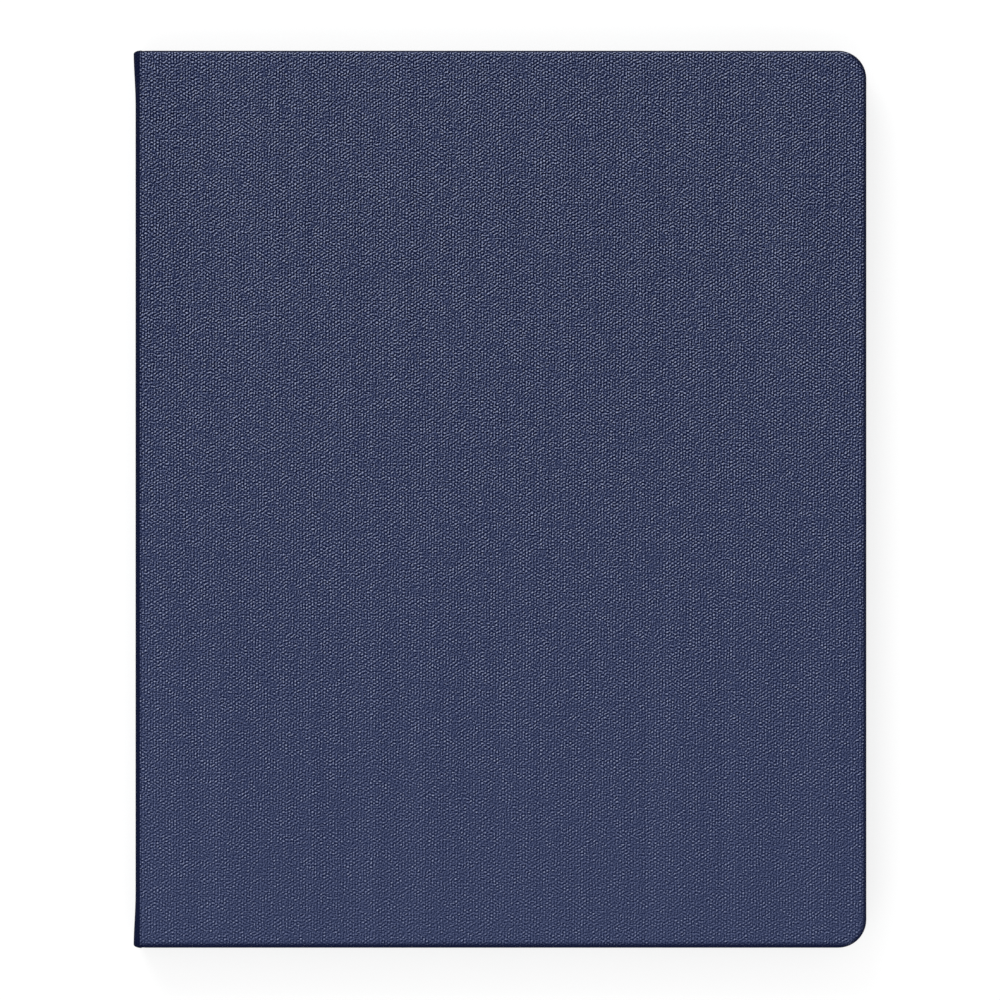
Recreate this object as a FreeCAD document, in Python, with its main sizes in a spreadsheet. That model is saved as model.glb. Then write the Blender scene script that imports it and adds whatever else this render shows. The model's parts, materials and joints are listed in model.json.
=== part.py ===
"""Tablet keyboard case, closed and lying on its back. Sizes are in millimetres.

X runs from the spine to the fore-edge, Y along the spine and Z up from the table to the photographed cover.
The back holds a tray for the tablet and a kickstand. A spine with two leather folds joins it to a keyboard
deck, which lies face down on the tray, so that its keys point to the table.
"""

import FreeCAD, Part
import Sketcher
import math
import os
import re

# Driving sizes
SIZES = {
    # outside of the closed case
    "case_width": 187.4,
    "case_length": 230.0,
    "corner_radius": 7.2,
    "edge_round": 1.2,
    "back_edge_round": 0.8,
    "hem_round": 0.9,
    # leather and its two folds
    "skin": 0.8,
    "fold_radius": 1.6,
    "fold_gap": 0.3,
    "spine_board": 0.7,
    "spine_lining": 0.4,
    "spine_hem": 1.0,
    "spine_gap": 0.2,
    # back and tablet tray
    "back_board": 1.6,
    "tray_floor": 1.0,
    "tray_wall": 1.1,
    "lining": 0.4,
    "lining_gap": 0.3,
    "bay_depth": 6.8,
    "bay_corner": 8.0,
    "lip_height": 0.8,
    "lip_reach": 0.8,
    "port_half_width": 7.0,
    "notch_sill": 0.8,
    "speaker_inset": 47.7,
    "speaker_half_width": 13.0,
    "speaker_sill": 1.6,
    "speaker_height": 3.0,
    "button_inset": 29.7,
    "button_half_width": 12.0,
    "camera_side_inset": 19.7,
    "camera_end_inset": 23.0,
    "camera_half_size": 11.0,
    "camera_corner": 5.0,
    "camera_step": 1.0,
    # kickstand and its hinges
    "stand_hinge_x": 4.0,
    "stand_free_inset": 11.7,
    "stand_end_inset": 17.0,
    "stand_corner": 6.0,
    "stand_gap": 0.7,
    "stand_recess": 0.2,
    "stand_edge": 1.6,
    "stand_slot": 2.2,
    "thumb_half_width": 13.0,
    "thumb_depth": 6.0,
    "hinge_inset": 36.0,
    "hinge_length": 24.0,
    "knuckle_length": 9.6,
    "knuckle_gap": 0.2,
    "barrel_radius": 1.0,
    "pin_radius": 0.5,
    "running_clearance": 0.04,
    "leaf_thickness": 0.5,
    "leaf_edge": 1.3,
    "leaf_reach": 12.0,
    # keyboard deck
    "closing_gap": 0.3,
    "deck_thickness": 6.0,
    "deck_gap": 0.5,
    "deck_fit": 0.1,
    "deck_plate": 0.8,
    "bezel_flange": 0.6,
    "bezel_wall": 2.5,
    "bezel_corner": 1.0,
    "palm_wall": 1.2,
    "palm_web": 5.0,
    "membrane": 0.3,
    "tail_inset": 33.0,
    "tail_half_width": 9.0,
    "tail_reach": 16.0,
    "tail_clearance": 0.5,
    "dome_base": 0.25,
    "dome_height": 1.15,
    "dome_radius": 2.0,
    # keys
    "field_side_inset": 13.7,
    "field_end_inset": 7.9,
    "row_pitch": 17.2,
    "key_gap": 2.1,
    "key_bevel": 1.0,
    "key_drop": 0.3,
    "key_seat_gap": 0.1,
    "key_flange": 0.4,
    "flange_thickness": 0.4,
    "key_clearance": 0.25,
    "well_depth": 1.3,
    "well_margin": 2.0,
    "well_corner": 3.0,
    "key_bed": 0.8,
    "bed_margin": 3.0,
    "sheet_margin": 2.5,
    # trackpad
    "pad_gap": 14.0,
    "pad_side_inset": 11.7,
    "pad_end_inset": 65.0,
    "pad_corner": 4.0,
    "pad_clearance": 0.3,
    "pad_drop": 0.15,
    "pad_flange": 1.0,
    "pad_board": 0.8,
    "pad_board_inset": 4.0,
    "pad_switch_inset": 10.0,
    "pad_switch_half": 3.0,
    "pad_switch_height": 1.4,
    # electronics, magnets and bumpers
    "board_gap": 9.0,
    "board_width": 35.0,
    "board_inset": 8.0,
    "board_length": 50.0,
    "board": 0.8,
    "board_drop": 0.1,
    "boss_half_width": 2.0,
    "boss_bevel": 1.2,
    "boss_inset": 5.0,
    "chip_half_size": 5.0,
    "chip_height": 1.0,
    "port_gap": 9.5,
    "port_half_length": 4.5,
    "port_half_height": 1.5,
    "port_corner": 1.2,
    "port_shell": 0.3,
    "port_fit": 0.05,
    "port_recess": 0.1,
    "tongue_half_length": 3.3,
    "tongue_half_height": 0.35,
    "tongue_short": 1.0,
    "knob_gap": 25.5,
    "knob_half_length": 2.5,
    "knob_half_height": 0.7,
    "knob_travel": 2.5,
    "knob_clearance": 0.15,
    "knob_recess": 0.3,
    "knob_flange": 1.5,
    "knob_plate": 1.0,
    "knob_rise": 0.2,
    "knob_play": 0.2,
    "switch_half_length": 6.0,
    "switch_depth": 5.0,
    "cell_gap": 7.0,
    "cell_inset": 6.0,
    "cell_thickness": 2.8,
    "cell_round": 1.0,
    "magnet_half_length": 10.0,
    "magnet_width": 4.0,
    "magnet_height": 2.0,
    "magnet_wall_gap": 0.5,
    "magnet_y_inner": 35.0,
    "magnet_inset": 23.0,
    "bumper_end_inset": 35.7,
    "bumper_half_length": 14.0,
    "bumper_half_width": 1.0,
    "bumper_inset": 2.6,
    "bumper_height": 1.0,
    "bumper_bevel": 0.6,
    # how far a cutting outline runs past what it cuts
    "overshoot": 1.0,
}

doc = FreeCAD.newDocument("tablet_keyboard_case")
sheet = doc.addObject("Spreadsheet::Sheet", "dims")
for row, (alias, size) in enumerate(SIZES.items(), start=1):
    sheet.set(f"A{row}", alias)
    sheet.set(f"B{row}", str(size))
    sheet.setAlias(f"B{row}", alias)
doc.recompute()

# Places worked out from the driving sizes
HALF_X = "(case_width / 2)"
HALF_Y = "(case_length / 2)"
LEFT = "(-case_width / 2)"
FOLD_X = f"({LEFT} + fold_radius)"
SPINE_INSIDE = f"({LEFT} + skin + spine_board + spine_lining)"
TRAY_LEFT = f"({SPINE_INSIDE} + spine_gap)"
BAY_LEFT = f"({TRAY_LEFT} + tray_wall)"
TRAY_RIGHT = f"({HALF_X} - deck_fit)"
BAY_RIGHT = f"({TRAY_RIGHT} - tray_wall)"
TRAY_Y = f"({HALF_Y} - skin - deck_fit)"
BAY_Y = f"({TRAY_Y} - tray_wall)"
DECK_LEFT = f"({SPINE_INSIDE} + deck_gap)"
DECK_RIGHT = f"({HALF_X} - skin - deck_fit)"
DECK_Y = f"({HALF_Y} - skin - deck_fit)"
INSIDE_RIGHT = f"({DECK_RIGHT} - bezel_wall)"
INSIDE_Y = f"({DECK_Y} - bezel_wall)"
FIELD_LEFT = f"({LEFT} + field_side_inset)"
FIELD_RIGHT = f"({FIELD_LEFT} + 5 * row_pitch)"
FIELD_Y = f"({HALF_Y} - field_end_inset)"
KEY_PITCH = f"({FIELD_Y} / 7)"
TAIL_Y = f"({HALF_Y} - tail_inset)"
PAD_LEFT = f"({FIELD_RIGHT} + pad_gap)"
PAD_RIGHT = f"({HALF_X} - pad_side_inset)"
PAD_Y = f"({HALF_Y} - pad_end_inset)"
PAD_SWITCH_X = f"({PAD_RIGHT} - pad_switch_inset)"
BOARD_LEFT = f"({FIELD_RIGHT} + board_gap)"
BOARD_RIGHT = f"({BOARD_LEFT} + board_width)"
BOARD_Y = f"({HALF_Y} - board_inset)"
BOARD_INNER_Y = f"({BOARD_Y} - board_length)"
PORT_X = f"({BOARD_LEFT} + port_gap)"
KNOB_X = f"({BOARD_LEFT} + knob_gap)"
CELL_LOW_Y = f"({PAD_Y} + cell_gap)"
CELL_HIGH_Y = f"({HALF_Y} - cell_inset)"
MAGNET_Y = f"({HALF_Y} - magnet_inset)"
STAND_FREE = f"({LEFT} + stand_free_inset)"
STAND_Y = f"({HALF_Y} - stand_end_inset)"
HINGE_Y = f"({STAND_Y} - hinge_inset)"
CAMERA_X = f"({HALF_X} - camera_side_inset)"
CAMERA_Y = f"({HALF_Y} - camera_end_inset)"
BUTTON_X = f"({HALF_X} - button_inset)"
SPEAKER_X = f"({HALF_X} - speaker_inset)"
BUMPER_X = f"({HALF_X} - bumper_end_inset)"
PALM_LEFT = f"({FIELD_RIGHT} + palm_web)"
BUMPER_Y = f"({BAY_Y} - bumper_inset)"
KNOB_BACK = f"({INSIDE_Y} - knob_play - knob_plate)"
SWITCH_Y = f"({KNOB_BACK} - knob_play)"

# Heights worked out from the driving sizes
TABLE = "0"
BACK_TOP = "(skin + back_board)"
FLOOR_TOP = f"({BACK_TOP} + tray_floor)"
LINING_TOP = f"({FLOOR_TOP} + lining)"
LIP_LOW = f"({LINING_TOP} + bay_depth)"
RIM_TOP = f"({LIP_LOW} + lip_height)"
DECK_LOW = f"({RIM_TOP} + closing_gap)"
TOP = f"({DECK_LOW} + deck_thickness)"
HEM = f"({DECK_LOW} + bezel_flange)"
PLATE_LOW = f"({TOP} - skin - deck_plate)"
MEMBRANE_LOW = f"({PLATE_LOW} - membrane)"
DOME_LOW = f"({MEMBRANE_LOW} - dome_base)"
KEY_FACE = f"({DECK_LOW} + key_drop)"
BED_LOW = f"({DECK_LOW} + well_depth)"
BED_TOP = f"({BED_LOW} + key_bed)"
KEY_FLANGE_LOW = f"({BED_TOP} + key_seat_gap)"
KEY_FLANGE_TOP = f"({KEY_FLANGE_LOW} + flange_thickness)"
PALM_TOP = f"({DECK_LOW} + palm_wall)"
PAD_FLANGE_LOW = f"({PALM_TOP} + key_seat_gap)"
PAD_FLANGE_TOP = f"({PAD_FLANGE_LOW} + flange_thickness)"
PAD_BOARD_TOP = f"({PAD_FLANGE_TOP} + pad_board)"
BOARD_TOP = f"({MEMBRANE_LOW} - board_drop)"
BOARD_LOW = f"({BOARD_TOP} - board)"
PORT_Z = f"({PALM_TOP} + port_half_height + port_recess)"
KNOB_Z = f"({PORT_Z} + knob_rise)"
HINGE_Z = f"({BACK_TOP} / 2)"
LEAF_TOP = f"({HINGE_Z} + barrel_radius)"
LEAF_LOW = f"({LEAF_TOP} - leaf_thickness)"
STAND_SKIN_TOP = "(stand_recess + skin)"
STAND_TOP = f"({BACK_TOP} - stand_recess)"
SPEAKER_LOW = f"({LINING_TOP} + speaker_sill)"
FRONT_FOLD_Z = f"({TOP} - fold_radius)"
SPINE_LOW = "(fold_radius + fold_gap)"
SPINE_HIGH = f"({FRONT_FOLD_Z} - fold_gap)"

# Key rows from the spine to the palm rest, each key as its name and its width in key pitches
NUMBERS = [f"number_{digit}" for digit in "1234567890"] + ["minus", "equal"]
ROWS = [
    [("grave", 0.75)] + [(name, 1) for name in NUMBERS] + [("backspace", 1.25)],
    [("tab", 1.25)]
    + [(name, 1) for name in [*"qwertyuiop", "bracket_open", "bracket_close"]]
    + [("slant", 0.75)],
    [("caps", 1.5)] + [(name, 1) for name in [*"asdfghjkl", "semicolon", "quote"]] + [("enter", 1.5)],
    [("shift_left", 2)]
    + [(name, 1) for name in [*"zxcvbnm", "comma", "period", "slash", "shift_right", "up"]],
    [("fn", 1), ("ctrl", 1), ("alt_left", 1), ("cmd_left", 1.25), ("space", 4.75)]
    + [("cmd_right", 1.25), ("alt_right", 0.75), ("left", 1), ("down", 1), ("right", 1)],
]
SINGLE_KEYS = list("qwertyuiopasdfghjklzxcvbnm") + ["space", "enter", "backspace", "shift_left"]
KEY_GROUPS = {
    "number_keys": ["grave"] + NUMBERS,
    "punctuation_keys": ["bracket_open", "bracket_close", "slant", "semicolon", "quote"]
    + ["comma", "period", "slash"],
    "modifier_keys": ["tab", "caps", "shift_right", "fn", "ctrl"]
    + ["alt_left", "cmd_left", "cmd_right", "alt_right"],
    "arrow_keys": ["up", "left", "down", "right"],
}

nodes = []


def bound(formula):
    """The formula with each size in it read from the sheet."""
    return re.sub(r"[a-z][a-z_]+", lambda word: f"dims.{word.group(0)}", formula)


def number(formula):
    return float(sheet.evalExpression(bound(formula)))


def piece(name):
    """An empty body for one piece of the case."""
    body = doc.addObject("PartDesign::Body", name)
    body.Label = name
    return body


def node(shape_object):
    """Marks a finished object as a piece that is written out on its own."""
    nodes.append(shape_object)
    return shape_object


def group(name, members):
    """Like pieces that are written out together."""
    compound = doc.addObject("Part::Compound", name)
    compound.Label = name
    compound.Links = members
    return node(compound)


def minus(side):
    return f"(-{side})"


def span(middle, half):
    """The two ends of a length about its middle."""
    return f"({middle} - {half})", f"({middle} + {half})"


def grown(sides, margin):
    """The sides of an outline moved outwards by a margin."""
    return tuple(f"({side} {sign} {margin})" for side, sign in zip(sides, "-+-+"))


def flat_sketch(body, name, role, level):
    """A sketch parallel to one of the body's own planes."""
    sketch = body.newObject("Sketcher::SketchObject", name)
    plane = [p for p in body.Origin.OriginFeatures if p.Role == role][0]
    sketch.AttachmentSupport = [(plane, "")]
    sketch.MapMode = "FlatFace"
    sketch.setExpression("AttachmentOffset.Base.z", bound(level))
    return sketch


def place(sketch, first, first_end, second, second_end, direction, formula):
    """Holds one point of a sketch at a signed distance from another."""
    rule = Sketcher.Constraint(f"Distance{direction}", first, first_end, second, second_end, number(formula))
    sketch.setExpression(f"Constraints[{sketch.addConstraint(rule)}]", bound(formula))


def draw_loop(sketch, sides, low_corner="", high_corner="", bevelled=False):
    """A closed four-sided outline. The corner sizes round or bevel it at the low and the high end of X."""
    x_low, x_high, y_low, y_high = (number(side) for side in sides)
    ends = ((x_high, y_low), (x_high, y_high), (x_low, y_high), (x_low, y_low))
    points = [FreeCAD.Vector(x, y) for x, y in ends]
    corners = [high_corner, high_corner, low_corner, low_corner]
    along = [FreeCAD.Vector(1, 0), FreeCAD.Vector(0, 1), FreeCAD.Vector(-1, 0), FreeCAD.Vector(0, -1)]
    sizes = [number(corner) if corner else 0 for corner in corners]
    arrivals = [points[turn] - along[turn] * sizes[turn] for turn in range(4)]
    departures = [points[turn] + along[(turn + 1) % 4] * sizes[turn] for turn in range(4)]
    lines = [sketch.addGeometry(Part.LineSegment(departures[turn - 1], arrivals[turn])) for turn in range(4)]
    for turn, (line, corner, size) in enumerate(zip(lines, corners, sizes)):
        following = lines[(turn + 1) % 4]
        sketch.addConstraint(Sketcher.Constraint("Vertical" if turn % 2 else "Horizontal", line))
        if not corner:
            sketch.addConstraint(Sketcher.Constraint("Coincident", line, 2, following, 1))
        elif bevelled:
            bevel = sketch.addGeometry(Part.LineSegment(arrivals[turn], departures[turn]))
            sketch.addConstraint(Sketcher.Constraint("Coincident", line, 2, bevel, 1))
            sketch.addConstraint(Sketcher.Constraint("Coincident", bevel, 2, following, 1))
            step = departures[turn] - arrivals[turn]
            place(sketch, bevel, 1, bevel, 2, "X", corner if step.x > 0 else minus(corner))
            place(sketch, bevel, 1, bevel, 2, "Y", corner if step.y > 0 else minus(corner))
        else:
            middle = arrivals[turn] + departures[turn] - points[turn]
            circle = Part.Circle(middle, FreeCAD.Vector(0, 0, 1), size)
            start = (turn - 1) * math.pi / 2
            arc = sketch.addGeometry(Part.ArcOfCircle(circle, start, start + math.pi / 2))
            sketch.addConstraint(Sketcher.Constraint("Tangent", line, 2, arc, 1))
            sketch.addConstraint(Sketcher.Constraint("Tangent", arc, 2, following, 1))
            rounding = sketch.addConstraint(Sketcher.Constraint("Radius", arc, size))
            sketch.setExpression(f"Constraints[{rounding}]", bound(corner))
    for line, direction, side in zip(lines, "YXYX", (sides[2], sides[1], sides[3], sides[0])):
        place(sketch, -1, 1, line, 1, direction, side)


def extrude(kind, body, name, loops, low, high, role):
    sketch = flat_sketch(body, f"{name}_outline", role, low)
    for loop in loops:
        draw_loop(sketch, *loop)
    feature = body.newObject(kind, name)
    feature.Profile = sketch
    feature.setExpression("Length", bound(f"{high} - {low}"))
    return feature


def add(body, name, loops, low, high, role="XY_Plane"):
    """Material between two levels along the plane's own direction, inside the outlines."""
    return extrude("PartDesign::Pad", body, name, loops, low, high, role)


def cut(body, name, loops, low, high, role="XY_Plane"):
    """The same outlines taken away."""
    pocket = extrude("PartDesign::Pocket", body, name, loops, low, high, role)
    pocket.Reversed = True
    return pocket


def round_edges(body, name, radius, chosen):
    """Rounds the edges of the body's last feature that the test picks out."""
    doc.recompute()
    feature = body.Tip
    edges = [f"Edge{n}" for n, edge in enumerate(feature.Shape.Edges, start=1) if chosen(edge.BoundBox)]
    fillet = body.newObject("PartDesign::Fillet", name)
    fillet.Base = (feature, edges)
    fillet.setExpression("Radius", bound(radius))
    return fillet


def same(value, formula):
    return abs(value - number(formula)) < 0.001


def bar(name, x_ends, y_ends, z_ends):
    """A plain block between six planes."""
    block = doc.addObject("Part::Box", name)
    for size, direction, ends in zip(("Length", "Width", "Height"), "xyz", (x_ends, y_ends, z_ends)):
        block.setExpression(size, bound(f"{ends[1]} - {ends[0]}"))
        block.setExpression(f"Placement.Base.{direction}", bound(ends[0]))
    return block


def post(name, x, y, radius, z_ends):
    """An upright six-sided post."""
    prism = doc.addObject("Part::Prism", name)
    prism.Polygon = 6
    prism.setExpression("Circumradius", bound(radius))
    prism.setExpression("Height", bound(f"{z_ends[1]} - {z_ends[0]}"))
    for direction, start in zip("xyz", (x, y, z_ends[0])):
        prism.setExpression(f"Placement.Base.{direction}", bound(start))
    return prism


# Outlines of the two openings in the deck's edge, seen along Y
port_sides = (*span(PORT_X, "port_half_length"), *span(PORT_Z, "port_half_height"))
port_hole = grown(port_sides, "port_fit")
knob = (*span(KNOB_X, "knob_half_length"), *span(KNOB_Z, "knob_half_height"))
knob_hole = grown((knob[0], f"({knob[1]} + knob_travel)", *knob[2:]), "knob_clearance")
edge_openings = [(port_hole, "port_corner", "port_corner"), (knob_hole,)]

# Leather face of the deck: a flat sheet turned down round three edges, open towards the fold
deck_skin = node(piece("deck_skin"))
face = (FOLD_X, HALF_X, minus(HALF_Y), HALF_Y)
add(deck_skin, "deck_skin_sheet", [(face, "", "corner_radius")], HEM, TOP)
round_edges(deck_skin, "deck_skin_edge", "edge_round",
            lambda box: same(box.ZMin, TOP) and not same(box.XMax, FOLD_X))
skin_inside = (f"({FOLD_X} - overshoot)", f"({HALF_X} - skin)", f"(skin - {HALF_Y})", f"({HALF_Y} - skin)")
inside_corner = "(corner_radius - skin)"
cut(deck_skin, "deck_skin_inside", [(skin_inside, "", inside_corner)], HEM, f"({TOP} - skin)")
fold_end = (f"({FOLD_X} - overshoot)", DECK_LEFT, f"(-{HALF_Y} - overshoot)", f"({HALF_Y} + overshoot)")
cut(deck_skin, "deck_skin_fold_end", [(fold_end,)], HEM, f"({TOP} - skin)")
cut(deck_skin, "deck_skin_sockets", edge_openings, DECK_Y, f"({HALF_Y} + overshoot)", "XZ_Plane")

# Plate that stiffens the deck
deck_plate = node(piece("deck_plate"))
deck_sides = (DECK_LEFT, DECK_RIGHT, minus(DECK_Y), DECK_Y)
deck_outline = (deck_sides, "bezel_corner", "(corner_radius - skin - deck_fit)")
add(deck_plate, "deck_plate_sheet", [deck_outline], PLATE_LOW, f"({TOP} - skin)")

# Outlines of the keys, row by row, the typist's left being at high Y
key_sides = {}
key_rows = []
for row, keys in enumerate(ROWS):
    start = 0
    for name, width in keys:
        pitch_sides = (
            f"({FIELD_LEFT} + {row} * row_pitch)",
            f"({FIELD_LEFT} + {row + 1} * row_pitch)",
            f"({FIELD_Y} - {start + width} * {KEY_PITCH})",
            f"({FIELD_Y} - {start} * {KEY_PITCH})",
        )
        key_sides[name] = grown(pitch_sides, "(-key_gap / 2)")
        start += width
    key_rows.append([key_sides[name] for name, width in keys])

# Moulded bezel: a rim, a sunk key bed with an opening for each key, a palm rest and room for the electronics
deck_bezel = node(piece("deck_bezel"))
add(deck_bezel, "bezel_block", [deck_outline], DECK_LOW, PLATE_LOW)
rim = (DECK_LEFT, f"({HALF_X} - deck_fit)", f"(deck_fit - {HALF_Y})", f"({HALF_Y} - deck_fit)")
add(deck_bezel, "bezel_rim", [(rim, "bezel_corner", "(corner_radius - deck_fit)")], DECK_LOW, HEM)
field = (FIELD_LEFT, FIELD_RIGHT, minus(FIELD_Y), FIELD_Y)
well = (grown(field, "well_margin"), "well_corner", "well_corner", True)
cut(deck_bezel, "key_well", [well], DECK_LOW, BED_LOW)
cut(deck_bezel, "key_room", [(grown(field, "bed_margin"),)], BED_TOP, PLATE_LOW)
palm_room = (PALM_LEFT, INSIDE_RIGHT, minus(INSIDE_Y), INSIDE_Y)
cut(deck_bezel, "palm_room", [(palm_room, "bezel_corner", "bezel_wall", True)], PALM_TOP, PLATE_LOW)
for row, sides in enumerate(key_rows):
    openings = [(grown(side, "key_clearance"),) for side in sides]
    cut(deck_bezel, f"key_openings_{row}", openings, BED_LOW, BED_TOP)
pad_sides = (PAD_LEFT, PAD_RIGHT, minus(PAD_Y), PAD_Y)
pad_hole_corner = "(pad_corner + pad_clearance)"
pad_opening = (grown(pad_sides, "pad_clearance"), pad_hole_corner, pad_hole_corner)
cut(deck_bezel, "pad_opening", [pad_opening], DECK_LOW, PALM_TOP)
tail_sides = (FIELD_RIGHT, f"({FIELD_RIGHT} + tail_reach)", *span(minus(TAIL_Y), "tail_half_width"))
tail_slot = grown(tail_sides, "tail_clearance")
cut(deck_bezel, "tail_slot", [(tail_slot,)], f"({MEMBRANE_LOW} - tail_clearance)", PLATE_LOW)
bezel_edge = (f"({INSIDE_Y} - overshoot)", f"({HALF_Y} + overshoot)")
cut(deck_bezel, "side_sockets", edge_openings, *bezel_edge, "XZ_Plane")
board_sides = (BOARD_LEFT, BOARD_RIGHT, minus(BOARD_Y), minus(BOARD_INNER_Y))
x_low, x_high, y_low, y_high = grown(board_sides, "(-boss_inset)")
bosses = []
for x, y in ((x_low, y_low), (x_low, y_high), (x_high, y_high)):
    boss = (*span(x, "boss_half_width"), *span(y, "boss_half_width"))
    bosses.append((boss, "boss_bevel", "boss_bevel", True))
add(deck_bezel, "bosses", bosses, PALM_TOP, BOARD_LOW)

# Switch membrane with the flat tail that runs to the controller board
membrane_sheet = node(piece("membrane_sheet"))
sheet_sides = grown(field, "sheet_margin")
add(membrane_sheet, "membrane_field", [(sheet_sides,)], MEMBRANE_LOW, PLATE_LOW)
add(membrane_sheet, "membrane_tail", [(tail_sides,)], MEMBRANE_LOW, PLATE_LOW)

# Rubber domes on a thin web, one under each key, drawn as short six-sided posts
domes = [bar("dome_web", sheet_sides[:2], sheet_sides[2:], (DOME_LOW, MEMBRANE_LOW))]
for name, (x_low, x_high, y_low, y_high) in key_sides.items():
    middle = (f"(({x_low} + {x_high}) / 2)", f"(({y_low} + {y_high}) / 2)")
    domes.append(post(f"dome_{name}", *middle, "dome_radius", (f"({DOME_LOW} - dome_height)", DOME_LOW)))
dome_sheet = node(doc.addObject("Part::MultiFuse", "dome_sheet"))
dome_sheet.Shapes = domes

# Keys: a bevelled cap that stands through the bed, and a flange behind the bed that keeps it in
caps = {}
for name, sides in key_sides.items():
    key = piece(f"key_{name}")
    add(key, f"cap_{name}", [(sides, "key_bevel", "key_bevel", True)], KEY_FACE, KEY_FLANGE_LOW)
    add(key, f"flange_{name}", [(grown(sides, "key_flange"),)], KEY_FLANGE_LOW, KEY_FLANGE_TOP)
    caps[name] = key
for name in SINGLE_KEYS:
    node(caps[name])
for name, members in KEY_GROUPS.items():
    group(name, [caps[member] for member in members])

# Trackpad plate, its flange behind the palm rest, and its circuit board with the click switch
trackpad = node(piece("trackpad"))
pad_lip = (grown(pad_sides, "pad_flange"), "pad_corner", "pad_corner")
pad_face = (pad_sides, "pad_corner", "pad_corner")
add(trackpad, "pad_plate", [pad_face], f"({DECK_LOW} + pad_drop)", PAD_FLANGE_LOW)
add(trackpad, "pad_lip", [pad_lip], PAD_FLANGE_LOW, PAD_FLANGE_TOP)
trackpad_board = node(piece("trackpad_board"))
pad_board = grown(pad_sides, "(-pad_board_inset)")
add(trackpad_board, "pad_board_sheet", [(pad_board,)], PAD_FLANGE_TOP, PAD_BOARD_TOP)
pad_switch = (*span(PAD_SWITCH_X, "pad_switch_half"), "(-pad_switch_half)", "pad_switch_half")
add(trackpad_board, "pad_switch", [(pad_switch,)], PAD_BOARD_TOP, f"({PAD_BOARD_TOP} + pad_switch_height)")

# Controller board on its bosses, with a chip and the body of the power switch
controller_board = node(piece("controller_board"))
add(controller_board, "board_sheet", [(board_sides,)], BOARD_LOW, BOARD_TOP)
chip_x = span(f"(({BOARD_LEFT} + {BOARD_RIGHT}) / 2)", "chip_half_size")
chip_y = span(f"(-({BOARD_Y} + {BOARD_INNER_Y}) / 2)", "chip_half_size")
add(controller_board, "chip", [((*chip_x, *chip_y),)], f"({BOARD_LOW} - chip_height)", BOARD_LOW)
switch = (*span(KNOB_X, "switch_half_length"), minus(SWITCH_Y), f"(switch_depth - {BOARD_Y})")
add(controller_board, "switch_body", [(switch,)], knob[2], BOARD_TOP)

# Charging socket: a rounded shell with a tongue, open at the deck's edge
charge_port = node(piece("charge_port"))
port_block = (port_sides, "port_corner", "port_corner")
port_mouth = (grown(port_sides, "(-port_shell)"), "(port_corner - port_shell)", "(port_corner - port_shell)")
tongue = (*span(PORT_X, "tongue_half_length"), *span(PORT_Z, "tongue_half_height"))
PORT_FRONT = f"({HALF_Y} - port_recess)"
add(charge_port, "port_block", [port_block], BOARD_Y, PORT_FRONT, "XZ_Plane")
cut(charge_port, "port_mouth", [port_mouth], f"({BOARD_Y} + port_shell)", PORT_FRONT, "XZ_Plane")
add(charge_port, "port_tongue", [(tongue,)], BOARD_Y, f"({PORT_FRONT} - tongue_short)", "XZ_Plane")

# Power switch: a knob in the deck's edge with a flange inside the wall
power_switch = node(piece("power_switch"))
knob_plate = (f"({knob[0]} - knob_flange)", f"({knob[1]} + knob_flange)", *knob[2:])
add(power_switch, "knob", [(knob,)], KNOB_BACK, f"({HALF_Y} - knob_recess)", "XZ_Plane")
add(power_switch, "knob_flange_plate", [(knob_plate,)], KNOB_BACK, f"({KNOB_BACK} + knob_plate)", "XZ_Plane")

# Battery cell, a pouch with rounded long edges
battery_cell = node(piece("battery_cell"))
cell_sides = (PAD_LEFT, PAD_RIGHT, CELL_LOW_Y, CELL_HIGH_Y)
add(battery_cell, "cell_block", [(cell_sides,)], PALM_TOP, f"({PALM_TOP} + cell_thickness)")
round_edges(battery_cell, "cell_edges", "cell_round",
            lambda box: same(box.YLength, f"{CELL_HIGH_Y} - {CELL_LOW_Y}"))

# Closing magnets along the fore-edge
magnets = []
magnet_x = (f"({INSIDE_RIGHT} - magnet_wall_gap - magnet_width)", f"({INSIDE_RIGHT} - magnet_wall_gap)")
for y in (MAGNET_Y, "magnet_y_inner", "(-magnet_y_inner)", minus(MAGNET_Y)):
    magnet = piece(f"magnet_{len(magnets)}")
    sides = (*magnet_x, *span(y, "magnet_half_length"))
    add(magnet, f"magnet_block_{len(magnets)}", [(sides,)], PALM_TOP, f"({PALM_TOP} + magnet_height)")
    magnets.append(magnet)
group("deck_magnets", magnets)

# Rubber strips on the bezel that meet the tablet's border before the keys do
bumpers = []
for x in (BUMPER_X, minus(BUMPER_X)):
    for y in (BUMPER_Y, minus(BUMPER_Y)):
        bumper = piece(f"bumper_{len(bumpers)}")
        sides = (*span(x, "bumper_half_length"), *span(y, "bumper_half_width"))
        strip = (sides, "bumper_bevel", "bumper_bevel", True)
        add(bumper, f"bumper_strip_{len(bumpers)}", [strip], f"({DECK_LOW} - bumper_height)", DECK_LOW)
        bumpers.append(bumper)
group("screen_bumpers", bumpers)

# Spine: a stiff strip in a flat leather sleeve
spine_skin = node(piece("spine_skin"))
spine_sides = (LEFT, SPINE_INSIDE, minus(HALF_Y), HALF_Y)
add(spine_skin, "spine_sleeve", [(spine_sides, "hem_round", "")], SPINE_LOW, SPINE_HIGH)
strip_x = (f"({LEFT} + skin)", f"({SPINE_INSIDE} - spine_lining)")
strip_sides = (*strip_x, f"(spine_hem - {HALF_Y})", f"({HALF_Y} - spine_hem)")
cut(spine_skin, "spine_pocket", [(strip_sides,)], SPINE_LOW, SPINE_HIGH)
spine_board = node(piece("spine_board"))
add(spine_board, "spine_strip", [(strip_sides,)], f"({SPINE_LOW} + fold_gap)", f"({SPINE_HIGH} - fold_gap)")

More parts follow.
